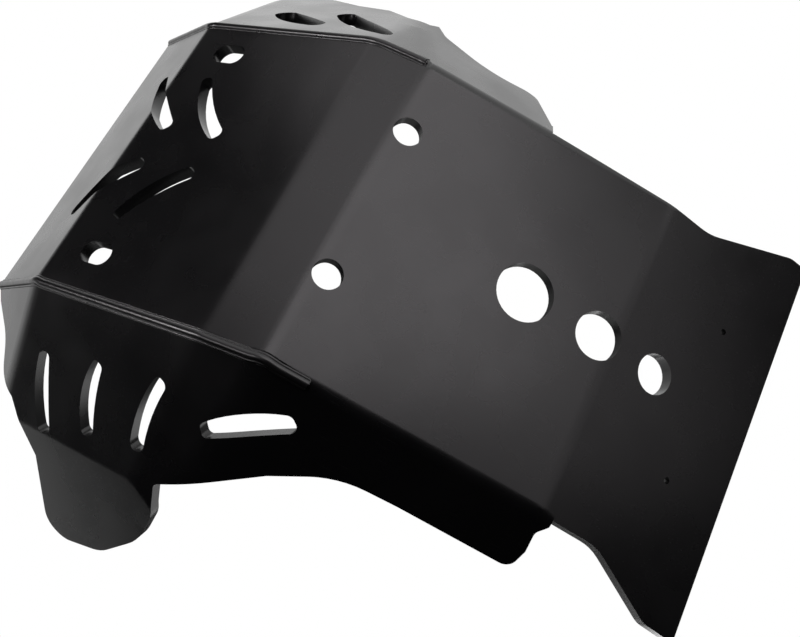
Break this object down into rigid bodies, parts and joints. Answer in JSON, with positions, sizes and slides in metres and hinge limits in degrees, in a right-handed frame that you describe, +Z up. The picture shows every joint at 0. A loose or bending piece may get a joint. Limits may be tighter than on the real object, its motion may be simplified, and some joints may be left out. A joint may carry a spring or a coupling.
{
  "type": "motorcycle skid plate",
  "caption": "Folded black plastic skid plate for a motorcycle engine, with a bent-up front, flared side wings, welded corner seams, drain holes and curved vent slots.",
  "frame": {"origin": "on the flat underside, midway between the two under-engine bolt holes", "axes": "+X forward along the motorcycle, +Y to the rider's left, +Z up; the plate lies level on its flat underside"},
  "size_m": [0.4651, 0.4548, 0.2016],
  "materials": {
    "hdpe": "satin black, with welded seams"
  },
  "bodies": {
    "root": {"skid_plate": "hdpe"}
  },
  "joints": []
}
